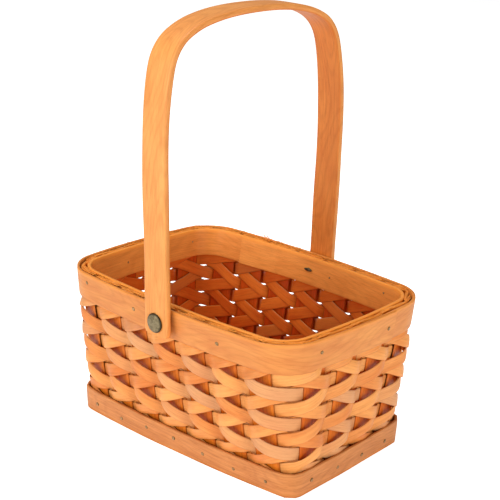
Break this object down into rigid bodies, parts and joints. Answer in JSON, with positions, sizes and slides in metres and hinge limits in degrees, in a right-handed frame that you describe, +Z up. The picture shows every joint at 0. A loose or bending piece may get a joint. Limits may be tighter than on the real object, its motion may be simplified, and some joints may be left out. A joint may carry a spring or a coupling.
{
  "type": "splint basket with swing handle",
  "caption": "Rectangular basket woven from thin wood splints, with rounded corners, bent rim and base bands, and a tall bent hoop handle that swings on two rivets.",
  "frame": {"origin": "on the surface that the basket stands on, under the middle of its base", "axes": "+X along the long walls, +Y across the basket from the front long wall to the back one, +Z up"},
  "size_m": [0.2603, 0.2028, 0.3532],
  "materials": {
    "board": "satin",
    "band": "satin varnish",
    "inner_band": "satin varnish",
    "upright": "satin varnish",
    "splint": "satin varnish",
    "rivet": "antique",
    "handle": "satin varnish"
  },
  "bodies": {
    "basket": {"base_board": "board", "base_band": "band", "rim_band_outer": "band", "rim_band_inner": "inner_band", "uprights_front": "upright", "uprights_right": "upright", "uprights_back": "upright", "uprights_left": "upright", "falling_splint_01": "splint", "falling_splint_02": "splint", "falling_splint_03": "splint", "falling_splint_04": "splint", "falling_splint_05": "splint", "falling_splint_06": "splint", "falling_splint_07": "splint", "falling_splint_08": "splint", "falling_splint_09": "splint", "falling_splint_10": "splint", "falling_splint_11": "splint", "falling_splint_12": "splint", "falling_splint_13": "splint", "falling_splint_14": "splint", "falling_splint_15": "splint", "falling_splint_16": "splint", "falling_splint_17": "splint", "falling_splint_18": "splint", "falling_splint_19": "splint", "falling_splint_20": "splint", "falling_splint_21": "splint", "falling_splint_22": "splint", "rising_splint_01": "splint", "rising_splint_02": "splint", "rising_splint_03": "splint", "rising_splint_04": "splint", "rising_splint_05": "splint", "rising_splint_06": "splint", "rising_splint_07": "splint", "rising_splint_08": "splint", "rising_splint_09": "splint", "rising_splint_10": "splint", "rising_splint_11": "splint", "rising_splint_12": "splint", "rising_splint_13": "splint", "rising_splint_14": "splint", "rising_splint_15": "splint", "rising_splint_16": "splint", "rising_splint_17": "splint", "rising_splint_18": "splint", "rising_splint_19": "splint", "rising_splint_20": "splint", "rising_splint_21": "splint", "rising_splint_22": "splint", "rivet_front": "rivet", "rivet_back": "rivet"},
    "handle": {"handle": "handle"}
  },
  "joints": [
    {"name": "handle_swing", "type": "hinge", "parent": "basket", "child": "handle", "pos_m": [0.003, 0, 0.119], "axis": [0, 1, 0], "range_deg": [-116, 116]}
  ]
}
